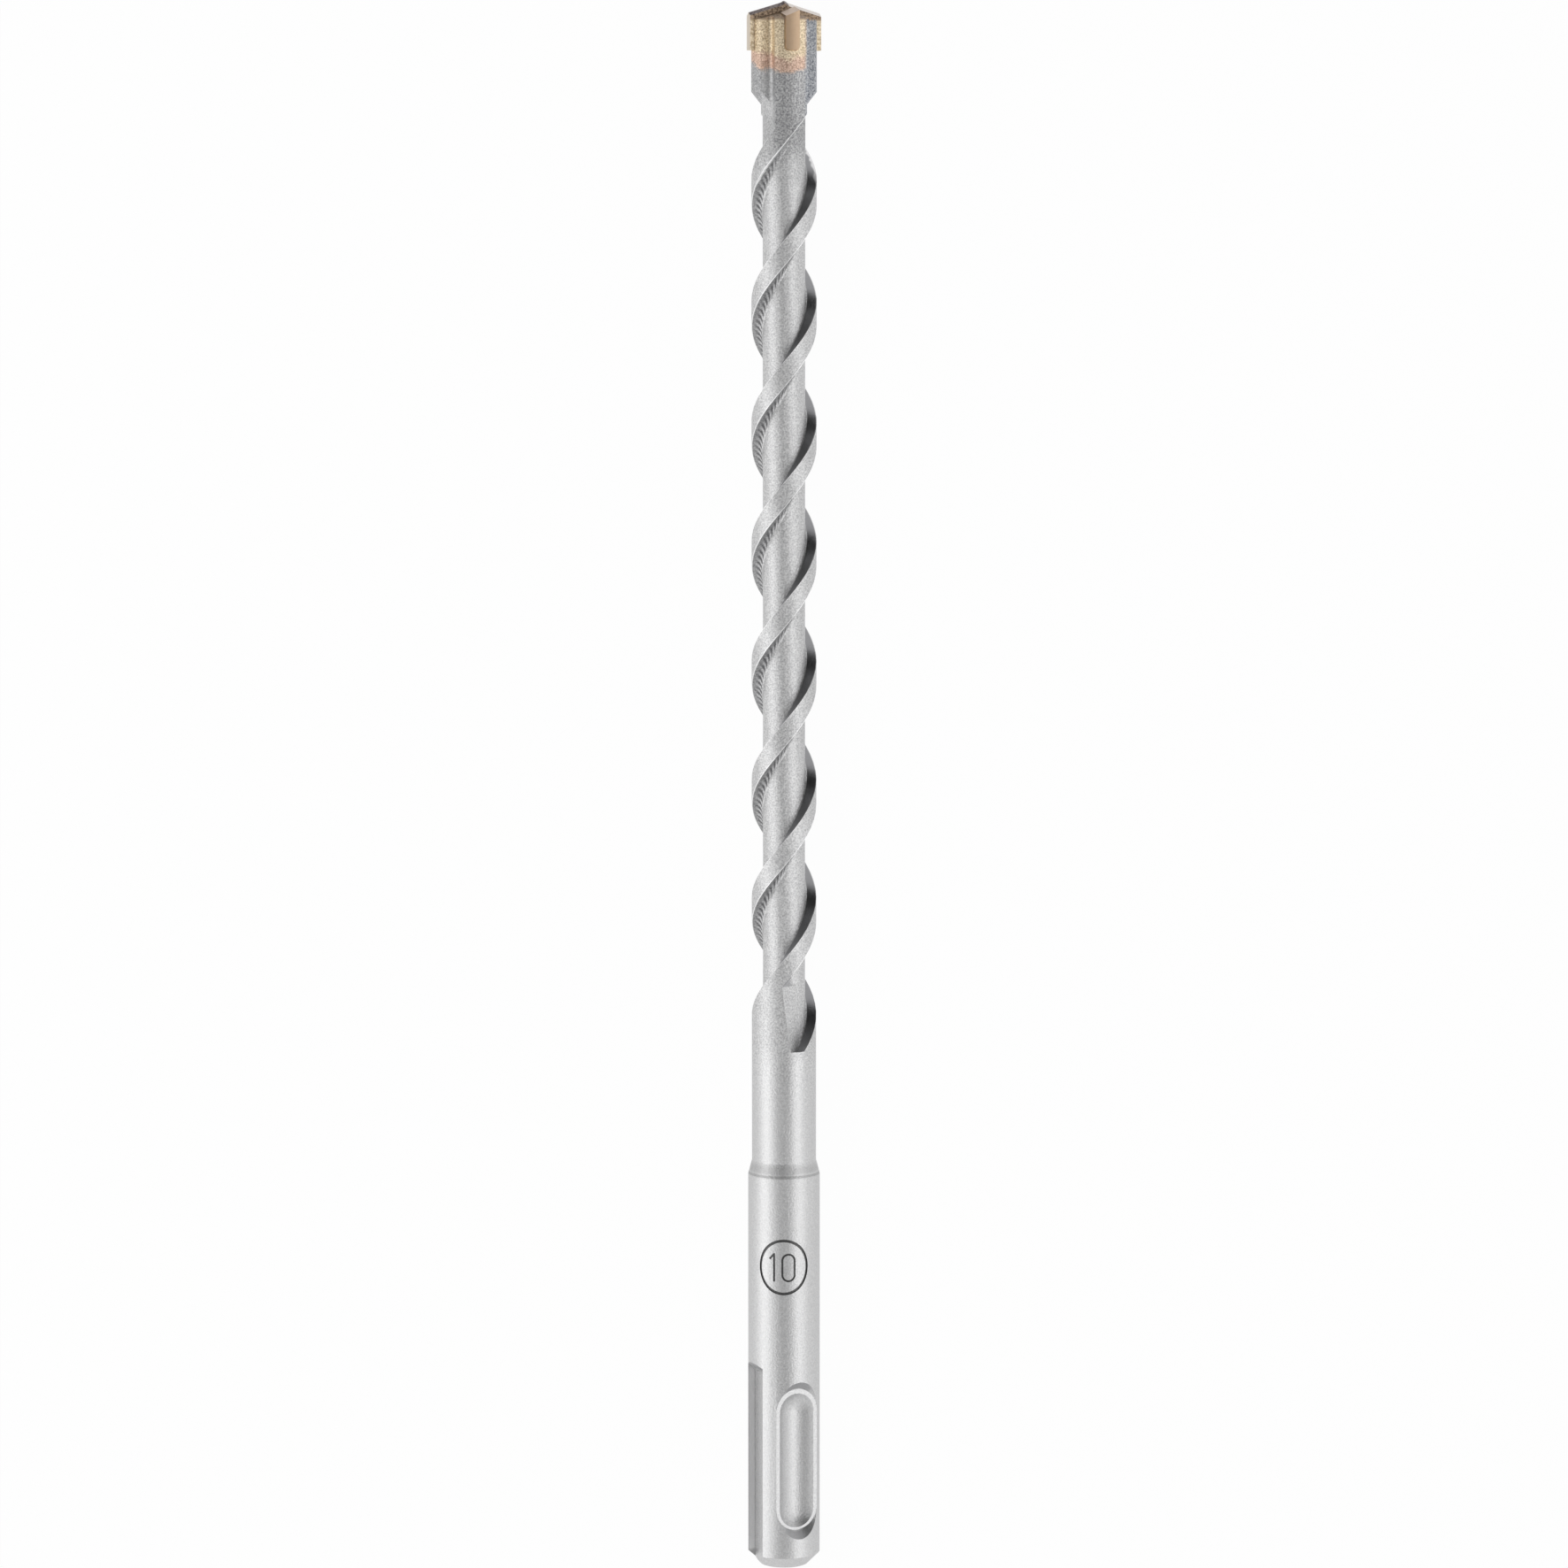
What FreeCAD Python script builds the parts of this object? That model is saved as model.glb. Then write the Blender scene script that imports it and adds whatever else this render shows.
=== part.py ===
import FreeCAD, Part
import math
import os
import Sketcher
from enum import IntEnum

# Hammer-drill bit with a grooved quick-change shank and a four-edged carbide head.
# Every piece is drawn with its axis along Z, the striking end at Z = 0 and the point up.
# Azimuths turn from the side seen in the photograph, which is local +X.
# At the end the bit is laid on its side, with its point towards +Y.

DRIVING_SIZES = {
    # whole bit and its round stock
    "overall_length": 215.0,
    "rod_radius": 4.43,
    "shank_radius": 4.96,
    "end_face_radius": 3.3,
    "shank_length": 54.8,
    "collar_run": 2.0,
    # steel head with four ribs
    "head_drop": 2.5,
    "roof_angle": 17.0,
    "front_rib_azimuth": 14.3,
    "rib_width": 4.46,
    "valley_fillet": 0.55,
    "valley_length": 13.75,
    "plate_rib_length": 9.65,
    "plate_rib_taper": 1.95,
    # two helical flutes and the lands between them
    "core_radius": 2.89,
    "core_overlap": 0.01,
    "flute_lead": 32.58,
    "land_azimuth": 38.2,
    "steep_flank_azimuth": 4.0,
    "easy_flank_azimuth": 8.0,
    "easy_flank_fillet": 0.8,
    "flute_foot": 72.35,
    "run_out_length": 9.05,
    "run_out_turn": 15.2,
    "run_out_ease": 1.6,
    # main carbide plate
    "cutting_radius": 5.03,
    "plate_thickness": 1.9,
    "plate_height": 6.6,
    "corner_drop": 1.6,
    "edge_setback": 0.6,
    "bevel_angle": 36.0,
    "relief_angle": 23.0,
    "point_angle": 35.0,
    # side cutters
    "side_radius": 4.98,
    "side_thickness": 1.9,
    "side_inner_radius": 1.9,
    "side_foot_drop": 6.7,
    "side_corner_drop": 1.4,
    "side_roof_angle": 11.0,
    "side_foot_round": 0.5,
    "braze_gap": 0.12,
    # closed locking pockets of the shank
    "pocket_azimuth": 27.0,
    "ledge_depth": 1.12,
    "ledge_start": 5.4,
    "ledge_length": 19.85,
    "ledge_end_slope": 45.0,
    "ball_radius": 3.5,
    "ball_depth": 2.28,
    "ball_start": 8.35,
    "ball_travel": 13.65,
    # drive slots, open at the striking end
    "slot_azimuth": 117.0,
    "slot_width": 4.44,
    "slot_depth": 1.56,
    "slot_length": 27.1,
    "slot_run_out": 1.6,
    # reach of the cutting tools past the stock, and the way the bit lies
    "overcut": 1.5,
    "roll": 30.0,
}

doc = FreeCAD.newDocument("hammer_drill_bit")
sheet = doc.addObject("Spreadsheet::Sheet", "dim")
for row, (alias, value) in enumerate(DRIVING_SIZES.items(), start=1):
    sheet.set("A%d" % row, alias.replace("_", " "))
    sheet.set("B%d" % row, str(value))
    sheet.setAlias("B%d" % row, alias)
doc.recompute()

# Levels and reaches that several pieces share.
STEEL_TOP = "(dim.overall_length - dim.head_drop)"
VALLEY_FOOT = "(%s - dim.valley_length)" % STEEL_TOP
PLATE_RIB_END = "(%s - dim.plate_rib_length)" % STEEL_TOP
TAPER_FOOT = "(%s - dim.plate_rib_taper)" % PLATE_RIB_END
PLATE_FOOT = "(dim.overall_length - dim.plate_height)"
SIDE_FOOT = "(dim.overall_length - dim.side_foot_drop)"
HEAD_REACH = "(dim.cutting_radius + dim.overcut)"
SHANK_REACH = "(dim.shank_radius + dim.overcut)"
LEDGE = "(dim.shank_radius - dim.ledge_depth)"
PLATE_AZIMUTH = "(dim.front_rib_azimuth + 90)"
UPRIGHT = FreeCAD.Vector(0, 0, 1)


# How a sketch numbers its own axes, and the origin as the start of its x axis.
class SketchLine(IntEnum):
    ACROSS = -1
    UP = -2


ORIGIN = (SketchLine.ACROSS, 1)


def origin_part(body, role):
    return next(item for item in body.Origin.OriginFeatures if item.Role == role)


def new_body(name):
    return doc.addObject("PartDesign::Body", name)


def new_sketch(body, name, plane, axis, azimuth):
    sketch = body.newObject("Sketcher::SketchObject", name)
    sketch.AttachmentSupport = [(origin_part(body, plane), "")]
    sketch.MapMode = "FlatFace"
    sketch.AttachmentOffset = FreeCAD.Placement(FreeCAD.Vector(), FreeCAD.Rotation(axis, 1))
    sketch.setExpression("AttachmentOffset.Rotation.Angle", azimuth)
    return sketch


# Across the axis at a level: sketch x points to the azimuth.
def cross_sketch(body, name, level="0", azimuth="0"):
    sketch = new_sketch(body, name, "XY_Plane", UPRIGHT, azimuth)
    sketch.setExpression("AttachmentOffset.Base.z", level)
    return sketch


# Through the axis: sketch x is the distance from the axis towards the azimuth, y the level.
def radial_sketch(body, name, azimuth="0"):
    return new_sketch(body, name, "XZ_Plane", FreeCAD.Vector(0, 1, 0), azimuth)


def set_size(sketch, kind, places, expression):
    number = sketch.addConstraint(Sketcher.Constraint(kind, *places, number_of(sketch, expression)))
    sketch.setExpression("Constraints[%d]" % number, expression)


def number_of(thing, expression):
    result = thing.evalExpression(expression)
    return float(getattr(result, "Value", result))


# Fixes one end of an edge at (x, y), both written as expressions.
def set_point(sketch, edge, end, x, y):
    for kind, axis, expression in (("DistanceX", SketchLine.UP, x),
                                   ("DistanceY", SketchLine.ACROSS, y)):
        if expression == "0":
            sketch.addConstraint(Sketcher.Constraint("PointOnObject", edge, end, axis))
        else:
            set_size(sketch, kind, ORIGIN + (edge, end), expression)


# Outline of straight edges through the given corners; an open one leaves its last side out.
def straight_outline(sketch, corners, closed=True):
    places = [FreeCAD.Vector(number_of(sketch, x), number_of(sketch, y), 0) for x, y in corners]
    count = len(places)
    sides = count if closed else count - 1
    for index in range(sides):
        sketch.addGeometry(Part.LineSegment(places[index], places[(index + 1) % count]))
    for index in range(count if closed else sides - 1):
        sketch.addConstraint(Sketcher.Constraint("Coincident", index, 2, (index + 1) % count, 1))
    for index, (x, y) in enumerate(corners):
        if index < sides:
            set_point(sketch, index, 1, x, y)
        else:
            set_point(sketch, sides - 1, 2, x, y)


def revolve(body, kind, sketch, axis="V_Axis", angle="360"):
    turned = body.newObject("PartDesign::" + kind, sketch.Name + "_turned")
    turned.Profile = sketch
    turned.ReferenceAxis = (sketch, [axis])
    turned.setExpression("Angle", angle)
    return turned


def pad(body, sketch, length):
    raised = body.newObject("PartDesign::Pad", sketch.Name + "_raised")
    raised.Profile = sketch
    raised.setExpression("Length", length)
    return raised


def pocket(body, sketch, length, both_sides=False, forward=False):
    cut = body.newObject("PartDesign::Pocket", sketch.Name + "_cut")
    cut.Profile = sketch
    cut.Midplane = both_sides
    cut.Reversed = forward
    cut.setExpression("Length", length)
    return cut


def repeat_round_axis(body, feature, count):
    pattern = body.newObject("PartDesign::PolarPattern", feature.Name + "_pattern")
    pattern.Originals = [feature]
    pattern.Axis = (origin_part(body, "Z_Axis"), [""])
    pattern.Angle = 360
    pattern.Occurrences = count
    body.Tip = pattern
    return pattern


# Steel blank: turned rod, thicker shank with its collar and end bevel, conical head top.
blank = new_body("blank")
profile = radial_sketch(blank, "blank_profile")
straight_outline(profile, (
    ("0", "0"),
    ("dim.end_face_radius", "0"),
    ("dim.shank_radius", "dim.shank_radius - dim.end_face_radius"),
    ("dim.shank_radius", "dim.shank_length"),
    ("dim.rod_radius", "dim.shank_length + dim.collar_run"),
    ("dim.rod_radius", STEEL_TOP),
    ("0", "%s + dim.rod_radius * tan(dim.roof_angle)" % STEEL_TOP),
))
revolve(blank, "Revolution", profile)
doc.recompute()

# Four valleys leave the head as a cross of ribs.
valley = cross_sketch(blank, "head_valley", VALLEY_FOOT, "dim.front_rib_azimuth")
RIB_SIDE = "(dim.rib_width / 2)"
ROUND_END = "(dim.rib_width / 2 + dim.valley_fillet)"
straight_outline(valley, (
    (ROUND_END, RIB_SIDE),
    (HEAD_REACH, RIB_SIDE),
    (HEAD_REACH, HEAD_REACH),
    (RIB_SIDE, HEAD_REACH),
    (RIB_SIDE, ROUND_END),
), closed=False)
corner = number_of(valley, ROUND_END)
corner_round = Part.Circle(FreeCAD.Vector(corner, corner), UPRIGHT,
                           number_of(valley, "dim.valley_fillet"))
valley.addGeometry(Part.ArcOfCircle(corner_round, math.pi, 1.5 * math.pi))
valley.addConstraint(Sketcher.Constraint("Coincident", 4, 1, 3, 2))
valley.addConstraint(Sketcher.Constraint("Coincident", 4, 2, 0, 1))
set_size(valley, "Radius", (4,), "dim.valley_fillet")
valley_cut = pocket(blank, valley, "dim.valley_length + dim.rod_radius", forward=True)
repeat_round_axis(blank, valley_cut, 4)
doc.recompute()

# The two ribs behind the main plate slope down to the core of the flutes.
taper = radial_sketch(blank, "plate_rib_taper", PLATE_AZIMUTH)
TAPER_REACH = "(%s - dim.core_radius)" % HEAD_REACH
TAPER_SLOPE = "(dim.plate_rib_taper / (dim.rod_radius - dim.core_radius))"
straight_outline(taper, (
    ("dim.core_radius", VALLEY_FOOT),
    (HEAD_REACH, VALLEY_FOOT),
    (HEAD_REACH, "%s + %s * %s" % (TAPER_FOOT, TAPER_REACH, TAPER_SLOPE)),
    ("dim.core_radius", TAPER_FOOT),
))
taper_cut = revolve(blank, "Groove", taper, angle="360 / 4")
taper_cut.Midplane = True
repeat_round_axis(blank, taper_cut, 2)
doc.recompute()

# Closed locking pockets: a flat ledge as wide as the round shank gives it, with round ends
# that slope up to the surface, and a round-nosed trough in it.
ledge = new_sketch(blank, "locking_ledge", "YZ_Plane", FreeCAD.Vector(0, 1, 0),
                   "dim.pocket_azimuth")
ledge.setExpression("AttachmentOffset.Base.x", "%s * sin(dim.pocket_azimuth)" % LEDGE)
ledge.setExpression("AttachmentOffset.Base.z", "%s * cos(dim.pocket_azimuth)" % LEDGE)
LEDGE_HALF = "sqrt(dim.shank_radius ^ 2 - %s ^ 2)" % LEDGE
LOW_END = "(dim.ledge_start + %s)" % LEDGE_HALF
HIGH_END = "(dim.ledge_start + dim.ledge_length - %s)" % LEDGE_HALF
half = number_of(ledge, LEDGE_HALF)
low = number_of(ledge, LOW_END)
high = number_of(ledge, HIGH_END)
ledge.addGeometry(Part.LineSegment(FreeCAD.Vector(half, low), FreeCAD.Vector(half, high)))
top_round = Part.Circle(FreeCAD.Vector(0, high), UPRIGHT, half)
ledge.addGeometry(Part.ArcOfCircle(top_round, 0, math.pi))
ledge.addGeometry(Part.LineSegment(FreeCAD.Vector(-half, high), FreeCAD.Vector(-half, low)))
foot_round = Part.Circle(FreeCAD.Vector(0, low), UPRIGHT, half)
ledge.addGeometry(Part.ArcOfCircle(foot_round, math.pi, 2 * math.pi))
for index in range(4):
    ledge.addConstraint(Sketcher.Constraint("Tangent", index, 2, (index + 1) % 4, 1))
set_point(ledge, 1, 3, "0", HIGH_END)
set_point(ledge, 3, 3, "0", LOW_END)
set_size(ledge, "Radius", (1,), LEDGE_HALF)
ledge_cut = pocket(blank, ledge, "%s - %s" % (SHANK_REACH, LEDGE), forward=True)
ledge_cut.setExpression("TaperAngle", "dim.ledge_end_slope")
repeat_round_axis(blank, ledge_cut, 2)
doc.recompute()

BALL_PATH = "(dim.shank_radius - dim.ball_depth + dim.ball_radius)"
BALL_END = "(dim.ball_start + dim.ball_travel)"
trough = radial_sketch(blank, "ball_trough", "dim.pocket_azimuth")
trough.setExpression("AttachmentOffset.Base.x", "%s * cos(dim.pocket_azimuth)" % BALL_PATH)
trough.setExpression("AttachmentOffset.Base.z", "-%s * sin(dim.pocket_azimuth)" % BALL_PATH)
ball = number_of(trough, "dim.ball_radius")
low = number_of(trough, "dim.ball_start")
high = number_of(trough, BALL_END)
quarter = math.pi / 2
trough.addGeometry(Part.LineSegment(FreeCAD.Vector(0, low - ball), FreeCAD.Vector(0, high + ball)))
top_round = Part.Circle(FreeCAD.Vector(0, high), UPRIGHT, ball)
trough.addGeometry(Part.ArcOfCircle(top_round, quarter, 2 * quarter))
trough.addGeometry(Part.LineSegment(FreeCAD.Vector(-ball, high), FreeCAD.Vector(-ball, low)))
foot_round = Part.Circle(FreeCAD.Vector(0, low), UPRIGHT, ball)
trough.addGeometry(Part.ArcOfCircle(foot_round, 2 * quarter, 3 * quarter))
for index in range(4):
    trough.addConstraint(Sketcher.Constraint("Coincident", index, 2, (index + 1) % 4, 1))
trough.addConstraint(Sketcher.Constraint("PointOnObject", 0, 1, SketchLine.UP))
trough.addConstraint(Sketcher.Constraint("PointOnObject", 0, 2, SketchLine.UP))
set_point(trough, 1, 3, "0", BALL_END)
set_point(trough, 3, 3, "0", "dim.ball_start")
set_size(trough, "Radius", (1,), "dim.ball_radius")
set_size(trough, "DistanceY", ORIGIN + (2, 1), BALL_END)
set_size(trough, "DistanceY", ORIGIN + (2, 2), "dim.ball_start")
trough.addConstraint(Sketcher.Constraint("Vertical", 2))
repeat_round_axis(blank, revolve(blank, "Groove", trough), 2)
doc.recompute()

# Drive slots run out of the striking end; their far ends slope up to the surface.
slot = radial_sketch(blank, "drive_slot", "dim.slot_azimuth")
SLOT_FLOOR = "(dim.shank_radius - dim.slot_depth)"
SLOT_SLOPE = "(dim.slot_run_out / dim.slot_depth * (%s - %s))" % (SHANK_REACH, SLOT_FLOOR)
straight_outline(slot, (
    (SLOT_FLOOR, "-dim.overcut"),
    (SHANK_REACH, "-dim.overcut"),
    (SHANK_REACH, "dim.slot_length + %s" % SLOT_SLOPE),
    (SLOT_FLOOR, "dim.slot_length"),
))
slot_cut = pocket(blank, slot, "dim.slot_width", both_sides=True)
repeat_round_axis(blank, slot_cut, 2)
doc.recompute()

# Flute section across the axis, measured from the middle of the land before it.
# Its easy flank faces the shank and has a rounded foot; its steep flank faces the point.
LAND_TURN = "(dim.front_rib_azimuth + 360 * (%s - %s) / dim.flute_lead)"
EASY_EDGE = "(dim.land_azimuth / 2)"
EASY_FOOT = "(%s + dim.easy_flank_azimuth)" % EASY_EDGE
STEEP_EDGE = "(180 - dim.land_azimuth / 2)"
STEEP_FOOT = "(%s - dim.steep_flank_azimuth)" % STEEP_EDGE
FLUTE_FLOOR = "(dim.core_radius - dim.core_overlap)"


def polar(radius, angle):
    return "%s * cos(%s)" % (radius, angle), "%s * sin(%s)" % (radius, angle)


section = doc.addObject("Sketcher::SketchObject", "flute_section")
section.Placement = FreeCAD.Placement(FreeCAD.Vector(), FreeCAD.Rotation(UPRIGHT, 1))
section.setExpression("Placement.Base.z", "dim.flute_foot")
section.setExpression("Placement.Rotation.Angle",
                      LAND_TURN % ("dim.flute_foot", VALLEY_FOOT) + " + 180")


def place_of(x, y):
    return FreeCAD.Vector(number_of(section, x), number_of(section, y), 0)


easy_edge = place_of(*polar("dim.rod_radius", EASY_EDGE))
easy_foot = place_of(*polar("dim.core_radius", EASY_FOOT))
steep_edge = place_of(*polar("dim.rod_radius", STEEP_EDGE))
steep_foot = place_of(*polar("dim.core_radius", STEEP_FOOT))
floor = number_of(section, FLUTE_FLOOR)
fillet = number_of(section, "dim.easy_flank_fillet")
reach = number_of(section, HEAD_REACH)


# First guess for the solver: where a flank, prolonged outwards, meets the cutting tool's rim.
def on_rim(foot, edge):
    way = (edge - foot).normalize()
    along = foot.dot(way)
    return foot + way * (math.sqrt(along ** 2 + reach ** 2 - foot.dot(foot)) - along)


easy_rim = on_rim(easy_foot, easy_edge)
steep_rim = on_rim(steep_foot, steep_edge)
flank = (easy_edge - easy_foot).normalize()
inward = FreeCAD.Vector(-flank.y, flank.x, 0)
offset = easy_foot + inward * fillet
along = offset.dot(flank)
round_middle = offset + flank * (
    math.sqrt(along ** 2 + (floor + fillet) ** 2 - offset.dot(offset)) - along)
round_edge = round_middle - inward * fillet
floor_start = FreeCAD.Vector(round_middle).normalize() * floor
floor_end = FreeCAD.Vector(steep_foot).normalize() * floor


def arc_between(centre, radius, first, last):
    circle = Part.Circle(centre, UPRIGHT, radius)
    return Part.ArcOfCircle(circle, circle.parameter(first), circle.parameter(last))


middle = FreeCAD.Vector()
section.addGeometry(Part.LineSegment(easy_rim, round_edge))
section.addGeometry(arc_between(round_middle, fillet, floor_start, round_edge))
section.addGeometry(arc_between(middle, floor, floor_start, floor_end))
section.addGeometry(Part.LineSegment(floor_end, steep_rim))
section.addGeometry(arc_between(middle, reach, easy_rim, steep_rim))
section.addConstraint(Sketcher.Constraint("Tangent", 0, 2, 1, 2))
section.addConstraint(Sketcher.Constraint("Tangent", 1, 1, 2, 1))
section.addConstraint(Sketcher.Constraint("Coincident", 2, 2, 3, 1))
section.addConstraint(Sketcher.Constraint("Coincident", 3, 2, 4, 2))
section.addConstraint(Sketcher.Constraint("Coincident", 4, 1, 0, 1))
section.addConstraint(Sketcher.Constraint("Coincident", 2, 3, *ORIGIN))
section.addConstraint(Sketcher.Constraint("Coincident", 4, 3, *ORIGIN))
for place, side, radius, angle in (
    (easy_edge, 0, "dim.rod_radius", EASY_EDGE),
    (easy_foot, 0, "dim.core_radius", EASY_FOOT),
    (steep_edge, 3, "dim.rod_radius", STEEP_EDGE),
    (steep_foot, 3, "dim.core_radius", STEEP_FOOT),
):
    mark = section.addGeometry(Part.Point(place), True)
    set_point(section, mark, 1, *polar(radius, angle))
    section.addConstraint(Sketcher.Constraint("PointOnObject", mark, 1, side))
set_size(section, "Radius", (1,), "dim.easy_flank_fillet")
set_size(section, "Radius", (2,), FLUTE_FLOOR)
set_size(section, "Radius", (4,), HEAD_REACH)

helix = doc.addObject("Part::Helix", "flute_helix")
helix.setExpression("Pitch", "dim.flute_lead")
helix.setExpression("Height", "%s - dim.flute_foot" % TAPER_FOOT)
helix.setExpression("Radius", "dim.rod_radius")
helix.setExpression("Placement.Base.z", "dim.flute_foot")
helix.SegmentLength = 0
doc.recompute()

flute = doc.addObject("Part::Sweep", "whole_flute")
flute.Sections = [section]
flute.Spine = (helix, ["Edge1"])
flute.Solid = True
flute.Frenet = True
doc.recompute()

# Steel that stays beside the run-out: a face that leaves the core and turns towards the land,
# so that the flute narrows to a point.
TOUCH = "acos(%s / dim.rod_radius) / 1 deg" % FLUTE_FLOOR
RUN_OUT_TOP = "(dim.flute_foot + dim.run_out_length)"
FACE_TURN = " + ".join((LAND_TURN % (RUN_OUT_TOP, VALLEY_FOOT), "180", EASY_EDGE, TOUCH))
FOOT_TURN = "dim.run_out_turn * (1 + dim.overcut / dim.run_out_length)"
run_out = new_body("run_out_block")
block_sections = []
for name, level, reach_out, azimuth in (
    ("run_out_low", "dim.flute_foot - dim.overcut", FLUTE_FLOOR,
     "%s + %s" % (FACE_TURN, FOOT_TURN)),
    ("run_out_top", RUN_OUT_TOP, FLUTE_FLOOR, FACE_TURN),
    ("run_out_eased", "%s + dim.run_out_ease" % RUN_OUT_TOP,
     "(dim.core_radius - (dim.rod_radius - dim.core_radius) / 2)", FACE_TURN),
):
    block = cross_sketch(run_out, name, level, azimuth)
    straight_outline(block, (
        (reach_out, "0"),
        ("-" + HEAD_REACH, "0"),
        ("-" + HEAD_REACH, "-" + HEAD_REACH),
        (reach_out, "-" + HEAD_REACH),
    ))
    block_sections.append(block)
block_loft = run_out.newObject("PartDesign::AdditiveLoft", "run_out_loft")
block_loft.Profile = block_sections[0]
block_loft.Sections = block_sections[1:]
block_loft.Ruled = True
doc.recompute()

# Steel of the front rib that the flute stops against.
rib = new_body("rib_block")
rib_outline = cross_sketch(rib, "rib_outline", "%s - dim.overcut" % VALLEY_FOOT,
                           "dim.front_rib_azimuth")
straight_outline(rib_outline, (
    ("0", "-dim.rib_width / 2"),
    (HEAD_REACH, "-dim.rib_width / 2"),
    (HEAD_REACH, RIB_SIDE),
    ("0", RIB_SIDE),
))
pad(rib, rib_outline, "%s - %s + 2 * dim.overcut" % (TAPER_FOOT, VALLEY_FOOT))
doc.recompute()


def boolean(kind, name, base, tool):
    result = doc.addObject("Part::" + kind, name)
    result.Base = base
    result.Tool = tool
    return result


past_run_out = boolean("Cut", "flute_past_run_out", flute, run_out)
first_flute = boolean("Cut", "first_flute", past_run_out, rib)
doc.recompute()
second_flute = doc.addObject("App::Link", "second_flute")
second_flute.LinkedObject = first_flute
second_flute.Placement = FreeCAD.Placement(FreeCAD.Vector(), FreeCAD.Rotation(UPRIGHT, 180))
half_fluted = boolean("Cut", "half_fluted", blank, first_flute)
deep_fluted = boolean("Cut", "deep_fluted", half_fluted, second_flute)

# The swept flutes are a hair too deep, and the core rod makes their floor truly round.
core_rod = doc.addObject("Part::Cylinder", "core_rod")
core_rod.setExpression("Radius", "dim.core_radius")
core_rod.setExpression("Placement.Base.z", "dim.shank_length")
core_rod.setExpression("Height", "%s - dim.shank_length" % PLATE_RIB_END)
fluted = boolean("Fuse", "fluted", deep_fluted, core_rod)
doc.recompute()


# Rounds the two long edges under a bar's foot.
def round_foot(body, raised, radius):
    foot = min(raised.Shape.Faces, key=lambda face: face.CenterOfMass.z)
    long_sides = sorted(foot.Edges, key=lambda edge: edge.Length)[2:]
    names = ["Edge%d" % number for number, edge in enumerate(raised.Shape.Edges, start=1)
             if any(edge.isSame(side) for side in long_sides)]
    rounded = body.newObject("PartDesign::Fillet", raised.Name + "_round")
    rounded.Base = (raised, names)
    rounded.setExpression("Radius", radius)


# Carbide plate in a body of its own: a bar across the head, ground back from each cutting edge.
# Its leading face looks the way the bit turns, towards growing azimuth, and the edge lies
# behind that face by the setback. The relief falls away behind the edge, a bevel in front.
def carbide_plate(name, azimuth, foot, thickness, inner, setback, edge_line, edges,
                  foot_round=None):
    body = new_body(name + "_plate")
    plan = cross_sketch(body, name + "_plan", foot, azimuth)
    half = "%s / 2" % thickness
    straight_outline(plan, (
        (inner, "-" + half),
        (HEAD_REACH, "-" + half),
        (HEAD_REACH, half),
        (inner, half),
    ))
    bar = pad(body, plan, "dim.overall_length + dim.overcut - %s" % foot)
    doc.recompute()
    if foot_round:
        round_foot(body, bar, foot_round)
    grind = radial_sketch(body, name + "_roof", azimuth)
    grind.setExpression("AttachmentOffset.Base.x", "-(%s - %s) * sin(%s)" % (half, setback, azimuth))
    grind.setExpression("AttachmentOffset.Base.z", "-(%s - %s) * cos(%s)" % (half, setback, azimuth))
    straight_outline(grind, edge_line)
    for way, angle in ((-1, "dim.relief_angle"), (1, "dim.bevel_angle")):
        ground = pocket(body, grind, "2 * %s" % HEAD_REACH)
        ground.UseCustomVector = True
        ground.setExpression("Direction.x", "%d * sin(%s) * cos(%s)" % (-way, azimuth, angle))
        ground.setExpression("Direction.y", "%d * cos(%s) * cos(%s)" % (way, azimuth, angle))
        ground.setExpression("Direction.z", "-sin(%s)" % angle)
        if edges > 1:
            repeat_round_axis(body, ground, edges)
        if setback == "0":
            break
    doc.recompute()
    return body


# Both halves of the main plate rise to a level chisel edge across the middle.
CORNER = "(dim.overall_length - dim.corner_drop)"
CHISEL_RISE = "((dim.plate_thickness / 2 - dim.edge_setback) * tan(dim.relief_angle))"
ROOF = "tan(dim.roof_angle)"
POINT = "tan(dim.point_angle)"
KNEE = "((dim.corner_drop + %s - dim.cutting_radius * %s) / (%s - %s))" % (
    CHISEL_RISE, ROOF, POINT, ROOF)
POINT_REACH = "(dim.overall_length + %s + %s * %s)" % (CHISEL_RISE, HEAD_REACH, POINT)
main_plate = carbide_plate("main", PLATE_AZIMUTH, PLATE_FOOT, "dim.plate_thickness",
                           "-" + HEAD_REACH, "dim.edge_setback", (
    (HEAD_REACH, "%s - dim.overcut * %s" % (CORNER, ROOF)),
    (HEAD_REACH, POINT_REACH),
    ("-" + HEAD_REACH, POINT_REACH),
    (KNEE, "dim.overall_length + %s - %s * %s" % (CHISEL_RISE, KNEE, POINT)),
), 2)

SIDE_CORNER = "(dim.overall_length - dim.side_corner_drop)"
SIDE_SLOPE = "tan(dim.side_roof_angle)"
SIDE_OUTSIDE = "(%s - dim.side_radius)" % HEAD_REACH
side_roof = (
    (HEAD_REACH, "%s - %s * %s" % (SIDE_CORNER, SIDE_OUTSIDE, SIDE_SLOPE)),
    (HEAD_REACH, POINT_REACH),
    ("0", POINT_REACH),
    ("0", "%s + dim.side_radius * %s" % (SIDE_CORNER, SIDE_SLOPE)),
)
SIDES = {"front": "dim.front_rib_azimuth", "back": "(dim.front_rib_azimuth + 180)"}
side_plates = {
    side: carbide_plate("side_" + side, azimuth, SIDE_FOOT, "dim.side_thickness",
                        "dim.side_inner_radius", "0", side_roof, 1, "dim.side_foot_round")
    for side, azimuth in SIDES.items()
}


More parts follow.
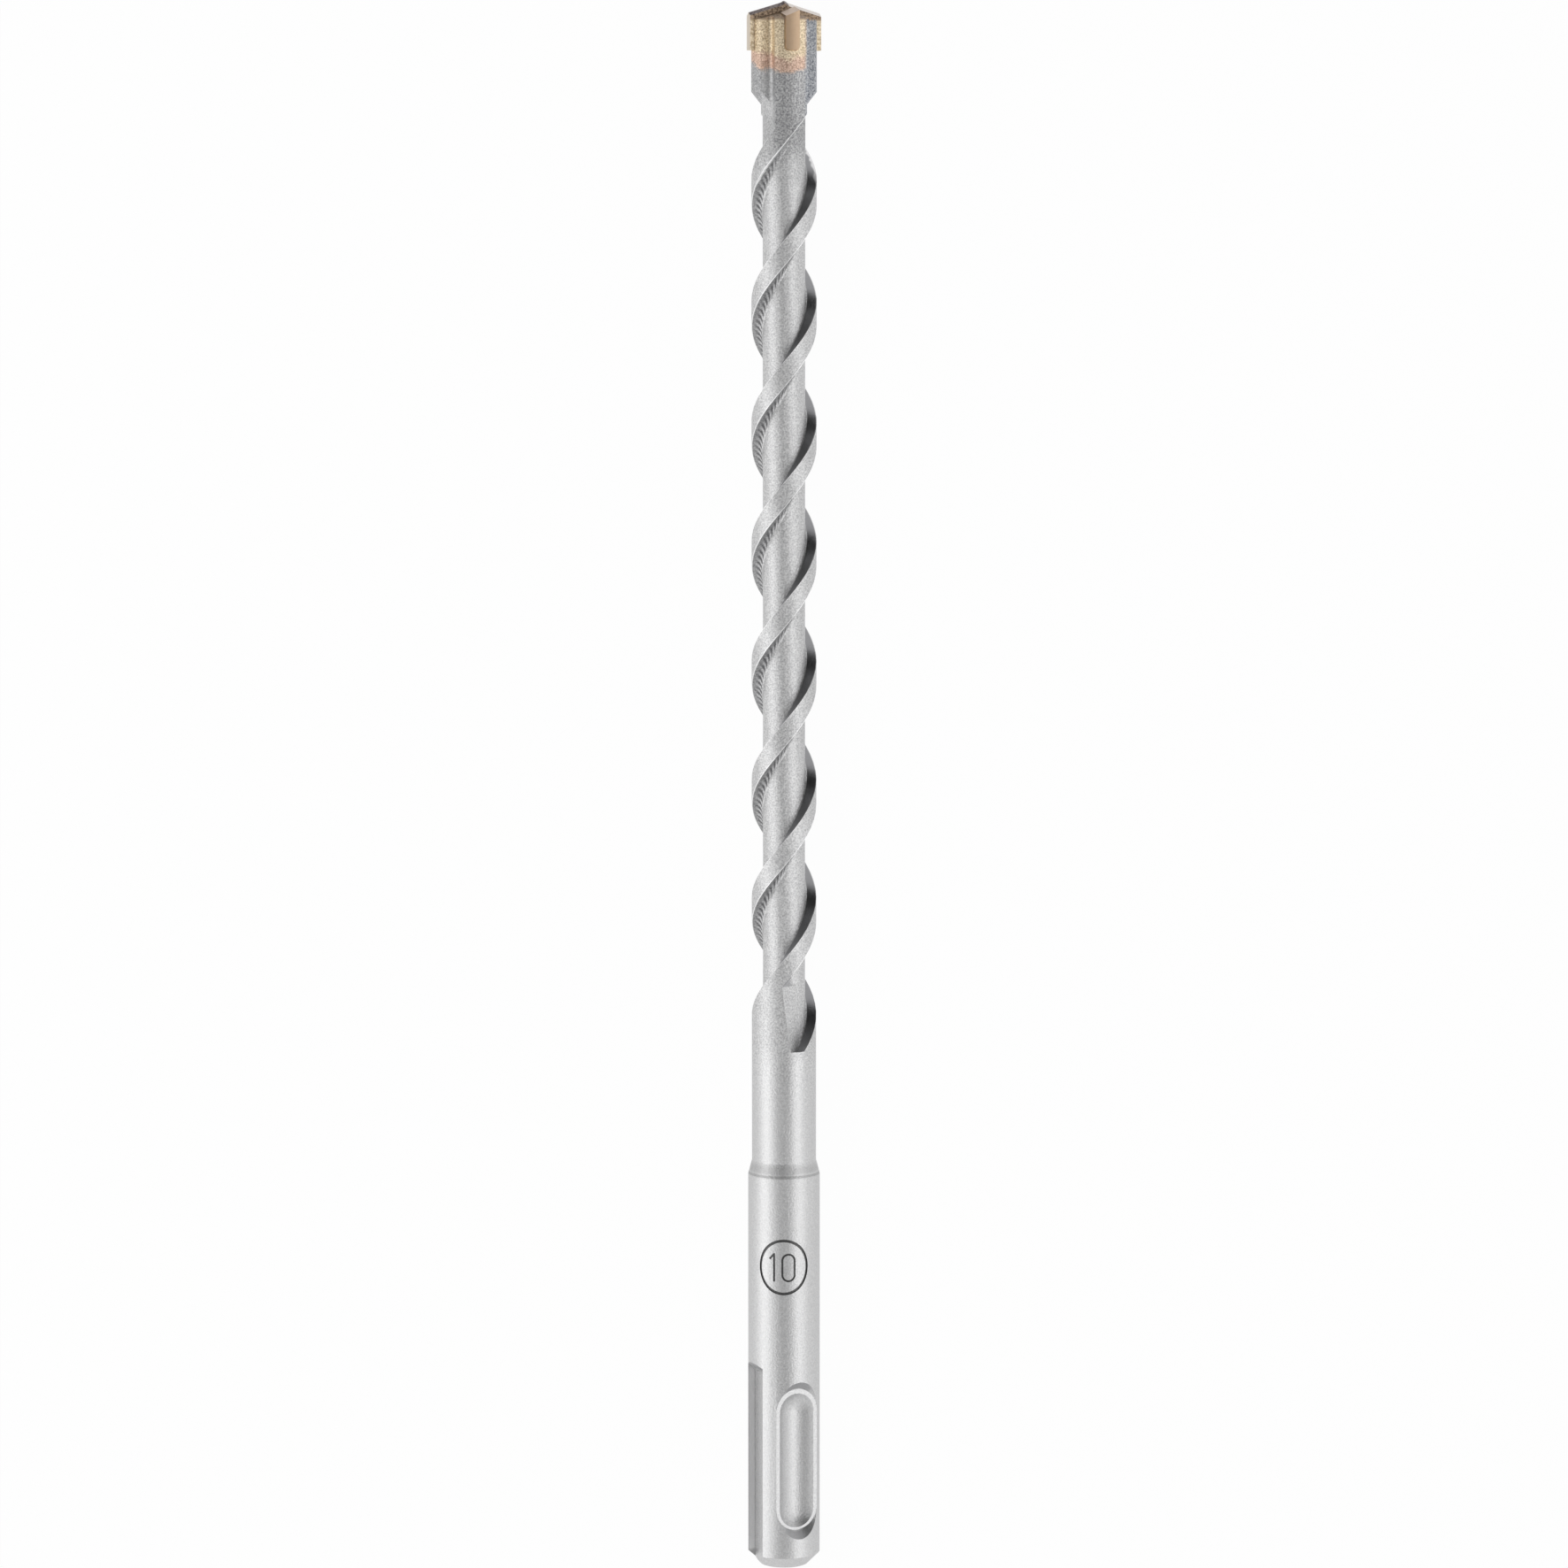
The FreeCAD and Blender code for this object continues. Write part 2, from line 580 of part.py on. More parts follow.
# Seat for a plate, wider than it all round by the gap that the braze fills.
def plate_seat(name, azimuth, foot, thickness, inner, foot_round=None):
    body = new_body(name + "_seat")
    plan = cross_sketch(body, name + "_seat_plan", "%s - dim.braze_gap" % foot, azimuth)
    half = "(%s / 2 + dim.braze_gap)" % thickness
    straight_outline(plan, (
        (inner, "-" + half),
        (HEAD_REACH, "-" + half),
        (HEAD_REACH, half),
        (inner, half),
    ))
    bar = pad(body, plan, "dim.overall_length + dim.overcut - %s" % foot)
    doc.recompute()
    if foot_round:
        round_foot(body, bar, foot_round)
        doc.recompute()
    return body


main_seat = plate_seat("main", PLATE_AZIMUTH, PLATE_FOOT, "dim.plate_thickness",
                       "-" + HEAD_REACH)
side_seats = {
    side: plate_seat("side_" + side, azimuth, SIDE_FOOT, "dim.side_thickness",
                     "(dim.side_inner_radius - dim.braze_gap)",
                     "dim.side_foot_round + dim.braze_gap")
    for side, azimuth in SIDES.items()
}


def ground_round(name, plate, radius):
    gauge = doc.addObject("Part::Cylinder", name + "_gauge")
    gauge.setExpression("Radius", radius)
    gauge.setExpression("Height", "dim.overall_length")
    return boolean("Common", name, plate, gauge)


def braze(name, seat, plate):
    filled = boolean("Common", name + "_filling", fluted, seat)
    return boolean("Cut", name, filled, plate)


seated = fluted
for name, seat in (("main", main_seat), ("front", side_seats["front"]), ("back", side_seats["back"])):
    seated = boolean("Cut", "seated_" + name, seated, seat)
pieces = {
    "shaft": seated,
    "main_cutter": ground_round("main_cutter", main_plate, "dim.cutting_radius"),
    "main_braze": braze("main_braze", main_seat, main_plate),
}
for side in SIDES:
    cutter = "side_cutter_" + side
    filler = "side_braze_" + side
    pieces[cutter] = ground_round(cutter, side_plates[side], "dim.side_radius")
    pieces[filler] = braze(filler, side_seats[side], side_plates[side])
doc.recompute()

# The bit lies on its side: its axis along Y, its photographed side turned by the roll from +Z.
axis_to_y = FreeCAD.Rotation(FreeCAD.Vector(1, 1, 1), -120)
rolled = FreeCAD.Rotation(FreeCAD.Vector(0, 1, 0), number_of(sheet, "dim.roll"))
for label, piece in pieces.items():
    piece.Label = label
    piece.Placement = FreeCAD.Placement(FreeCAD.Vector(), rolled * axis_to_y)
doc.recompute()

for thing in doc.Objects:
    if "Invalid" in thing.State or "Error" in thing.State:
        raise RuntimeError("%s did not build" % thing.Name)
os.makedirs("parts", exist_ok=True)
for label, piece in pieces.items():
    if piece.Shape.isNull() or not piece.Shape.isValid() or len(piece.Shape.Solids) != 1:
        raise RuntimeError("%s is not one sound solid" % label)
    piece.Shape.exportStep("parts/%s.step" % label)
    print(label, round(piece.Shape.Volume, 2), "mm3")
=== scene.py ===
import math

import bmesh
import bpy
from mathutils import Matrix, Vector


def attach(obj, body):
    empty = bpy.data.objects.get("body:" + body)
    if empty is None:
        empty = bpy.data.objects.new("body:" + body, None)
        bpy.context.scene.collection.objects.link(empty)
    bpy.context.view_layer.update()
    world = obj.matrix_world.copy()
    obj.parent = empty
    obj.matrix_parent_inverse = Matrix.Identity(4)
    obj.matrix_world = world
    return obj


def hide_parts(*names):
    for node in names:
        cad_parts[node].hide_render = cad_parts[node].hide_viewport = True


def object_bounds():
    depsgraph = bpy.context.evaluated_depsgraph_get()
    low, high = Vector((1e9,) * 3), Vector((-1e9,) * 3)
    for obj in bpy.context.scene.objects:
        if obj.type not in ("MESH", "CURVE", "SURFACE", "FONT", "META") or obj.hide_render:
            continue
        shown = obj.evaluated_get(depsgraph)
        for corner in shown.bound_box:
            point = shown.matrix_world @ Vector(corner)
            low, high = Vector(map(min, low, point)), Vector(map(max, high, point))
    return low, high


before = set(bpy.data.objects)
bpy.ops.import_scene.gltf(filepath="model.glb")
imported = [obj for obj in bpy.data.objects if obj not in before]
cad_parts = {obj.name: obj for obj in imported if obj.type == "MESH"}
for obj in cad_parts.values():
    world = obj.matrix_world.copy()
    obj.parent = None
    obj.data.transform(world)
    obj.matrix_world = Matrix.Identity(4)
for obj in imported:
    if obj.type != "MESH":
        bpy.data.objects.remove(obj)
cad_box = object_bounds()

# Camera: a long lens over the photographed side, square to the bit but for a small lean
# towards its point. The bit's axis runs up the middle of the picture.
MM = 0.001
ROLL = math.radians(30)
LEAN = math.radians(6.05)
CAMERA_DISTANCE = 690 * MM
AIM = Vector((0, 108.88 * MM, 0))
LENS_LENGTH = 115.64
SENSOR_WIDTH = 36
CLIP_START = 0.01
along_bit = Vector((0, 1, 0))
photographed_side = Vector((math.sin(ROLL), 0, math.cos(ROLL)))
backwards = photographed_side * math.cos(LEAN) + along_bit * math.sin(LEAN)
rightwards = along_bit.cross(backwards).normalized()
upwards = backwards.cross(rightwards)
camera = bpy.data.objects.new("camera", bpy.data.cameras.new("camera"))
bpy.context.collection.objects.link(camera)
camera.matrix_world = Matrix.Translation(AIM + backwards * CAMERA_DISTANCE) @ Matrix(
    (rightwards, upwards, backwards)).transposed().to_4x4()
camera.data.sensor_width = SENSOR_WIDTH
camera.data.lens = LENS_LENGTH
camera.data.clip_start = CLIP_START
bpy.context.scene.camera = camera
bpy.context.scene.view_settings.view_transform = "Standard"


# Floor: a sheet of white paper that the bit lies on. It shows as plain white, also in the
# steel, and keeps the bit's shadow.
class Wire:
    """A socket of a material; sums and products of sockets add Math nodes."""

    def __init__(self, tree, socket=None):
        self.tree = tree
        self.socket = socket

    def node(self, kind, settings, inputs, output=0):
        made = self.tree.nodes.new("ShaderNode" + kind)
        for name, value in settings.items():
            setattr(made, name, value)
        for name, value in inputs.items():
            if isinstance(value, Wire):
                self.tree.links.new(value.socket, made.inputs[name])
            else:
                made.inputs[name].default_value = value
        return Wire(self.tree, made.outputs[output]) if made.outputs else None

    def maths(self, operation, *values):
        return self.node("Math", {"operation": operation}, dict(enumerate(values)))

    def own(self, operation):
        return self.maths(operation, self)

    def modulo(self, period):
        return self.maths("FLOORED_MODULO", self, period)

    def __add__(self, other):
        return self.maths("ADD", self, other)

    def __sub__(self, other):
        return self.maths("SUBTRACT", self, other)

    def __rsub__(self, other):
        return self.maths("SUBTRACT", other, self)

    def __mul__(self, other):
        return self.maths("MULTIPLY", self, other)

    def rise(self, low, high):
        return self.node("MapRange", {"interpolation_type": "SMOOTHSTEP"},
                         {"Value": self, "From Min": low, "From Max": high})

    def tint(self, off, on):
        return self.node("Mix", {"data_type": "RGBA"}, {0: self, 6: off, 7: on}, output=2)

    __radd__ = __add__
    __rmul__ = __mul__


def finish(name):
    material = bpy.data.materials.new(name)
    material.use_nodes = True
    material.node_tree.nodes.clear()
    return material, Wire(material.node_tree)


def shown_background(wire):
    def path(output):
        return wire.node("LightPath", {}, {}, output)
    in_steel = wire.maths("MAXIMUM", path("Is Glossy Ray"), path("Is Transmission Ray"))
    return wire.maths("MAXIMUM", path("Is Camera Ray"), in_steel)


PAPER_SIZE = 12
PAPER_WHITE = (0.95, 0.95, 0.95, 1)
PAPER_GLOW = 1.0
SHARE_OF_GLOW = 0.97
paper_finish, wire = finish("white_paper")
matt = wire.node("BsdfDiffuse", {}, {"Color": PAPER_WHITE})
glow = wire.node("Emission", {}, {"Strength": PAPER_GLOW})
mixed = wire.node("MixShader", {}, {0: shown_background(wire) * SHARE_OF_GLOW, 1: matt, 2: glow})
wire.node("OutputMaterial", {}, {"Surface": mixed})
sheet = bmesh.new()
bmesh.ops.create_grid(sheet, size=PAPER_SIZE / 2)
paper_mesh = bpy.data.meshes.new("floor")
sheet.to_mesh(paper_mesh)
paper = bpy.data.objects.new("floor", paper_mesh)
paper.location = (0, AIM.y, cad_box[0][2])
paper_mesh.materials.append(paper_finish)
bpy.context.collection.objects.link(paper)

# Light: two large soft boxes, one on each side of the camera, in a white room. A grey card
# round the camera and a black one beyond the point give the steel its darker reflections.
WHITE = (1, 1, 1, 1)
ROOM_LIGHT = 0.5
SHOWN_LIGHT = 0.5
SOFT_BOXES = (("left", -64, 1.4), ("right", 56, 1.6))
SOFT_BOX_WIDTH = 0.45
SOFT_BOX_HEIGHT = 0.9
SOFT_BOX_DISTANCE = 0.7
CAMERA_CARD_DISTANCE = 0.72
CAMERA_CARD_SHADE = 0.42
END_CARD_LEVEL = 0.55
END_CARD_WIDTH = 1.6
END_CARD_HEIGHT = 1.0
END_CARD_SHADE = 0.01
room = bpy.data.worlds.new("white_room")
room.use_nodes = True
room.node_tree.nodes.clear()
wire = Wire(room.node_tree)
level = shown_background(wire) * SHOWN_LIGHT + ROOM_LIGHT
air = wire.node("Background", {}, {"Color": WHITE, "Strength": level})
wire.node("OutputWorld", {}, {"Surface": air})
bpy.context.scene.world = room


def facing_bit(thing, azimuth, distance):
    outwards = Vector((math.sin(azimuth), 0, math.cos(azimuth)))
    thing.matrix_world = Matrix.Translation(AIM + outwards * distance) @ Matrix(
        (along_bit.cross(outwards), along_bit, outwards)).transposed().to_4x4()
    bpy.context.collection.objects.link(thing)


for side, azimuth, power in SOFT_BOXES:
    lamp = bpy.data.lights.new("soft_box_" + side, "AREA")
    lamp.shape = "RECTANGLE"
    lamp.size = SOFT_BOX_WIDTH
    lamp.size_y = SOFT_BOX_HEIGHT
    lamp.energy = power
    facing_bit(bpy.data.objects.new("soft_box_" + side, lamp),
               ROLL + math.radians(azimuth), SOFT_BOX_DISTANCE)


def card(name, width, height, shade):
    material, wire = finish(name)
    plain = wire.node("Emission", {}, {"Color": (shade, shade, shade, 1)})
    wire.node("OutputMaterial", {}, {"Surface": plain})
    sheet = bmesh.new()
    bmesh.ops.create_grid(sheet, size=0.5)
    bmesh.ops.scale(sheet, vec=(width, height, 1), verts=sheet.verts)
    mesh = bpy.data.meshes.new(name)
    sheet.to_mesh(mesh)
    mesh.materials.append(material)
    made = bpy.data.objects.new(name, mesh)
    made.visible_camera = False
    made.visible_diffuse = False
    made.visible_shadow = False
    return made


facing_bit(card("camera_card", 0.6, 1.2, CAMERA_CARD_SHADE), ROLL, CAMERA_CARD_DISTANCE)
end_card = card("end_card", END_CARD_WIDTH, END_CARD_HEIGHT, END_CARD_SHADE)
end_card.matrix_world = Matrix.Translation(
    (0, END_CARD_LEVEL, END_CARD_HEIGHT / 2 + cad_box[0][2])) @ Matrix.Rotation(math.pi / 2, 4, "X")
bpy.context.collection.objects.link(end_card)

# Shaft: one bar of tool steel, turned and milled, then blasted to an even fine grain. The
# heat of brazing leaves straw and copper colours on the head. A ring with the drilling
# diameter, 10, is engraved on the shank.
SHANK_RADIUS = 4.96
RING_LEVEL = 42.6
RING_STROKE = 0.38
DIGIT_STROKE = 0.27
ENGRAVED_DEPTH = 0.16
CUT_FLOOR = SHANK_RADIUS - ENGRAVED_DEPTH
CUT_TOP = SHANK_RADIUS + ENGRAVED_DEPTH
ONE_AROUND = -1.37
ONE_LEVELS = (40.6, 44.55)
FLAG = ((-2.02, 43.74), (-1.42, 44.42))
MERGE_DISTANCE = 1e-7
PLAIN_WALL_TOP = 60
FACES_OUT = 0.99
shaft_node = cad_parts["shaft"]


# Closed wall that follows a drawn line round the shank: the line's points are millimetres
# round the shank, from its photographed side, and millimetres up from its striking end.
def engraver(points, stroke, closed):
    wall = bmesh.new()
    count = len(points)
    rings = []
    for index, (around, up) in enumerate(points):
        before = points[index - 1] if closed or index else points[index]
        after = points[(index + 1) % count] if closed or index < count - 1 else points[index]
        way = Vector((after[0] - before[0], after[1] - before[1])).normalized()
        corners = []
        for side, radius in ((1, CUT_FLOOR), (-1, CUT_FLOOR), (-1, CUT_TOP), (1, CUT_TOP)):
            turn = ROLL + (around - way.y * side * stroke / 2) / SHANK_RADIUS
            level = up + way.x * side * stroke / 2
            corners.append(wall.verts.new(
                (radius * MM * math.sin(turn), level * MM, radius * MM * math.cos(turn))))
        rings.append(corners)
    for index in range(count if closed else count - 1):
        first, second = rings[index], rings[(index + 1) % count]
        for corner in range(4):
            wall.faces.new((first[corner], first[(corner + 1) % 4],
                            second[(corner + 1) % 4], second[corner]))
    if not closed:
        wall.faces.new(rings[0])
        wall.faces.new(reversed(rings[-1]))
    bmesh.ops.recalc_face_normals(wall, faces=wall.faces)
    mesh = bpy.data.meshes.new("engraver")
    wall.to_mesh(mesh)
    tool = bpy.data.objects.new("engraver", mesh)
    bpy.context.collection.objects.link(tool)
    return tool


def loop(around, up, half_width, half_height, straight, steps):
    points = []
    for step in range(steps):
        turn = 2 * math.pi * (step + 0.5) / steps
        lift = straight / 2 if turn < math.pi else -straight / 2
        points.append((around + half_width * math.cos(turn),
                       up + lift + half_height * math.sin(turn)))
    return points


engravers = [
    engraver(loop(-0.05, RING_LEVEL, 3.42, 3.7, 0, 96), RING_STROKE, True),
    engraver(loop(0.62, 42.53, 0.85, 0.85, 2.0, 40), DIGIT_STROKE, True),
    engraver([(ONE_AROUND, ONE_LEVELS[1]), (ONE_AROUND, ONE_LEVELS[0])], DIGIT_STROKE, False),
    engraver(FLAG, DIGIT_STROKE, False),
]
blank = bmesh.new()
blank.from_mesh(shaft_node.data)
bmesh.ops.remove_doubles(blank, verts=blank.verts, dist=MERGE_DISTANCE)
shaft_mesh = bpy.data.meshes.new("engraved_shaft")
blank.to_mesh(shaft_mesh)
shaft = bpy.data.objects.new("engraved_shaft", shaft_mesh)
bpy.context.collection.objects.link(shaft)
for tool in engravers:
    cut = shaft.modifiers.new("engraving", "BOOLEAN")
    cut.object = tool
    cut.solver = "EXACT"
bpy.context.view_layer.update()
shaft.data = bpy.data.meshes.new_from_object(
    shaft.evaluated_get(bpy.context.evaluated_depsgraph_get()))
shaft.modifiers.clear()
for tool in engravers:
    bpy.data.objects.remove(tool)
# A corner that is left with only two edges lies in the middle of a straight stretch of the
# engraved line, and goes.
engraved_bar = bmesh.new()
engraved_bar.from_mesh(shaft.data)
bmesh.ops.dissolve_verts(engraved_bar, verts=[
    corner for corner in engraved_bar.verts if len(corner.link_edges) == 2])
engraved_bar.to_mesh(shaft.data)
# The turned and milled faces keep their true smoothness: each corner that the engraving left in
# place takes the direction that the whole bar has there, and new ones on the round wall theirs.
whole = shaft_node.data
known = {}
for polygon in whole.polygons:
    for corner in polygon.loop_indices:
        spot = whole.vertices[whole.loops[corner].vertex_index].co
        known.setdefault(tuple(round(value / MM, 3) for value in spot), []).append(
            (polygon.normal.copy(), whole.corner_normals[corner].vector.copy()))
directions = []
for polygon in shaft.data.polygons:
    for corner in polygon.loop_indices:
        spot = shaft.data.vertices[shaft.data.loops[corner].vertex_index].co
        outwards = Vector((spot.x, 0, spot.z)).normalized()
        found = known.get(tuple(round(value / MM, 3) for value in spot))
        if found:
            near = max(found, key=lambda pair: pair[0].dot(polygon.normal))
            directions.append(near[1])
        elif polygon.normal.dot(outwards) > FACES_OUT and spot.y < PLAIN_WALL_TOP * MM:
            directions.append(outwards)
        else:
            directions.append(polygon.normal)
shaft.data.shade_smooth()
shaft.data.normals_split_custom_set(directions)

# Some of these colours are painted light: shade on the steep flanks, the ledge ends and the turned
# corner, and highlights along the land edges and on the slot's rear wall.
STEEL_LIGHT = (0.72, 0.72, 0.72, 1)
STEEL_DARK = (0.43, 0.43, 0.435, 1)
FLANK_LIGHT = (0.66, 0.66, 0.665, 1)
FLANK_DARK = (0.16, 0.16, 0.165, 1)
# Colour of painted shade, used on the steep flanks and the ledge ends.
PAINTED_SHADE_STEEL = (0.30, 0.30, 0.31, 1)
SCALE_LIGHT = (0.62, 0.62, 0.62, 1)
SCALE_DARK = (0.24, 0.24, 0.25, 1)
BLUED_LIGHT = (0.62, 0.63, 0.65, 1)
BLUED_DARK = (0.18, 0.195, 0.225, 1)
STRAW_LIGHT = (0.98, 0.86, 0.66, 1)
STRAW_DARK = (0.46, 0.35, 0.22, 1)
COPPER_LIGHT = (0.88, 0.68, 0.56, 1)
COPPER_DARK = (0.42, 0.27, 0.20, 1)
# Colour of painted highlights, on the land edges and the slot's rear wall.
PAINTED_HIGHLIGHT = (0.97, 0.97, 0.97, 1)
# Dark colour inside the engraving, and of painted shade at the turned corner.
DARK_ENGRAVING_AND_SHADE = (0.10, 0.10, 0.10, 1)
LEAD = 32.58
VALLEY_FOOT = 198.75
RIB_AZIMUTH = 14.3
HALF_LAND = 19.1
BROWN_LIGHT = (0.56, 0.42, 0.30, 1)
BROWN_DARK = (0.10, 0.07, 0.05, 1)
# Where each finish fades in, from the first number to the second: millimetres up from the
# striking end, millimetres out from the axis, or the part of a face that points along the bit.
SHANK_FADES = (62, 76)
FLUTES_BEGIN = (70, 74)
FLUTES_END = (199, 200)
EDGES_BEGIN = (82, 84)
EDGES_END = (199.6, 200.3)
STEEP_TILT = (0.25, 0.55)
EASY_TILT = (0.2, 0.4)
LAND_RADIUS = (4.25, 4.4)
WALL_RADIUS = (4.84, 4.93)
RING_BEGINS = (37, 38)
RING_ENDS = (47, 48)
COOL_SIDE = (2.6, 3.2)
BLUED_BEGINS = (197, 200)
COPPER_BEGINS = (208.3, 209.0)
STRAW_BEGINS = (210.2, 211.0)
BROWN_BEGINS = (212.6, 213.0)
GRAIN_CONTRAST = (0.25, 0.75)
GRAIN_DEPTH = 0.06
steel, wire = finish("blasted_steel")
place = wire.node("TexCoord", {}, {}, "Object")
x = wire.node("SeparateXYZ", {}, {0: place}, "X") * (1 / MM)
y = wire.node("SeparateXYZ", {}, {0: place}, "Y") * (1 / MM)
z = wire.node("SeparateXYZ", {}, {0: place}, "Z") * (1 / MM)
radius = (x * x + z * z).own("SQRT")
facing = x * math.sin(ROLL) + z * math.cos(ROLL)
across = x * math.cos(ROLL) - z * math.sin(ROLL)


def noise(wire, place, scale, detail, roughness=0.5):
    return wire.node("TexNoise", {}, {"Vector": place, "Scale": scale / MM, "Detail": detail,
                                      "Roughness": roughness}, "Fac")


fine = noise(wire, place, 4.6, 2)
crisp = fine.rise(*GRAIN_CONTRAST)
broad = noise(wire, place, 0.5, 2)
face = wire.node("NewGeometry", {}, {}, "Normal")
faces_point = wire.node("SeparateXYZ", {}, {0: face}, "Y")
turned = y.rise(*FLUTES_BEGIN) * (1 - y.rise(*FLUTES_END))
steep = faces_point.rise(*STEEP_TILT) * turned * radius.rise(3.0, 3.2)
easy = (faces_point * -1.0).rise(*EASY_TILT) * turned * radius.rise(2.8, 3.1)
turn = x.maths("ARCTAN2", x, z)
marks = (y * 6.2 - turn * 74).own("SINE") * (1 - radius.rise(3.2, 4.2))
on_shank = 1 - y.rise(*SHANK_FADES)
colour = (crisp + (0.5 - crisp) * on_shank * 0.6).tint(STEEL_DARK, STEEL_LIGHT)
colour = easy.tint(colour, (marks * 0.5 + crisp * 0.5 + 0.1).tint(FLANK_DARK, FLANK_LIGHT))
# Painted shade: the flanks that face the point are darkened in their colour.
colour = steep.tint(colour, PAINTED_SHADE_STEEL)
# Painted highlight: thin white lines along both edges of each land, where the edges catch the
# light.
past_land = (turn * math.degrees(1) - (math.degrees(ROLL) + RIB_AZIMUTH) - (
    y - VALLEY_FOOT) * (360 / LEAD)).modulo(180)
easy_edge = 1 - (past_land - HALF_LAND).own("ABSOLUTE").rise(0.5, 1.7)
steep_edge = 1 - (past_land - (180 - HALF_LAND)).own("ABSOLUTE").rise(0.3, 1.3)
edge = (easy_edge + steep_edge * 0.7 * (1 - y.rise(196, 197))) * (
    radius + y.rise(190, 194) * 1.5).rise(*LAND_RADIUS) * y.rise(*EDGES_BEGIN) * (
    1 - y.rise(*EDGES_END))
# The engraved ring and digits are darker inside.
engraved = (1 - radius.rise(*WALL_RADIUS)) * y.rise(*RING_BEGINS) * (1 - y.rise(*RING_ENDS))
# Painted light: the rear wall of the slot, which faces the camera, is painted white.
slot_wall = across.own("ABSOLUTE").rise(4.0, 4.15) * (
    1 - (across * facing).own("ABSOLUTE").rise(2.2, 3.0)) * (
    1 - radius.rise(4.88, 4.94)) * y.rise(1.5, 2) * (1 - y.rise(27, 29))
colour = slot_wall.tint(colour, PAINTED_HIGHLIGHT)
# Painted shade: the ends of the ledge that face along the bit are darkened in their colour.
ledge_end = faces_point.own("ABSOLUTE").rise(0.55, 0.65) * radius.rise(3.9, 4.1) * y.rise(3, 4) * (
    1 - y.rise(31, 32)) * 0.6
colour = ledge_end.tint(colour, PAINTED_SHADE_STEEL)
# Painted shade: a thin dark line and a soft dark band where the neck's cone meets the shank.
painted_corner_shade = (y.rise(54.85, 55.0) * (1 - y.rise(55.15, 55.35)) * 0.35
                 + y.rise(55.2, 55.7) * (1 - y.rise(56.0, 57.0)) * 0.2)
colour = (engraved + painted_corner_shade).tint(colour, DARK_ENGRAVING_AND_SHADE)
milled_floor = across.rise(-3.2, -2.9) * (1 - across.rise(-1.5, -1.35)) * y.rise(
    193, 196) * (1 - y.rise(206, 206.8))
scaled = (y + broad * 4).rise(192, 199) * (1 - steep) * (1 - milled_floor)
blued = across.rise(*COOL_SIDE) * y.rise(*BLUED_BEGINS)
scale = blued.tint(crisp.tint(SCALE_DARK, SCALE_LIGHT), crisp.tint(BLUED_DARK, BLUED_LIGHT))
colour = scaled.tint(colour, scale)
colour = edge.tint(colour, PAINTED_HIGHLIGHT)
warm_side = 1 - across.rise(*COOL_SIDE)
stain = y + facing * 0.45 + broad * 1.6 + fine * 1.2
copper = stain.rise(*COPPER_BEGINS) * warm_side
straw = stain.rise(*STRAW_BEGINS) * warm_side
colour = copper.tint(colour, crisp.tint(COPPER_DARK, COPPER_LIGHT))
colour = straw.tint(colour, crisp.tint(STRAW_DARK, STRAW_LIGHT))
colour = (y + fine * 0.8).rise(*BROWN_BEGINS).tint(colour, crisp.tint(BROWN_DARK, BROWN_LIGHT))
grain = wire.node("Bump", {}, {"Height": fine * (1 - steep), "Strength": 0.8,
                               "Distance": GRAIN_DEPTH * MM})
metal = wire.node("BsdfPrincipled", {}, {
    "Base Color": colour,
    "Metallic": 1.0,
    "Roughness": (steep * -0.22 + milled_floor * 0.2 + scaled * 0.12 + turned * 0.08
                  + fine * 0.12 + 0.38),
    "Normal": grain,
})
wire.node("OutputMaterial", {}, {"Surface": metal})
shaft.data.materials.clear()
shaft.data.materials.append(steel)
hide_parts("shaft")
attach(shaft, "root")

# Carbide cutters: sintered plates, brazed in and then ground on their roofs and outer ends.
# The steep bevel in front of each cutting edge is dark and the relief behind it bright. Straw
# coloured braze has run up the flat sides of the main plate.
CARBIDE_PINK = (0.52, 0.38, 0.26, 1)
CARBIDE_TAN = (0.42, 0.29, 0.19, 1)
SIDE_ROOF = (0.62, 0.50, 0.41, 1)
GROUND_END = (0.66, 0.59, 0.50, 1)
GROUND_ROOF = (0.78, 0.73, 0.69, 1)
BEVEL_LIGHT = (0.42, 0.36, 0.34, 1)
BEVEL_DARK = (0.12, 0.10, 0.11, 1)
BEVEL_TILT = (0.5, 0.6)
ROOF_TILT = (0.82, 0.86)
END_RADIUS = (4.4, 4.8)


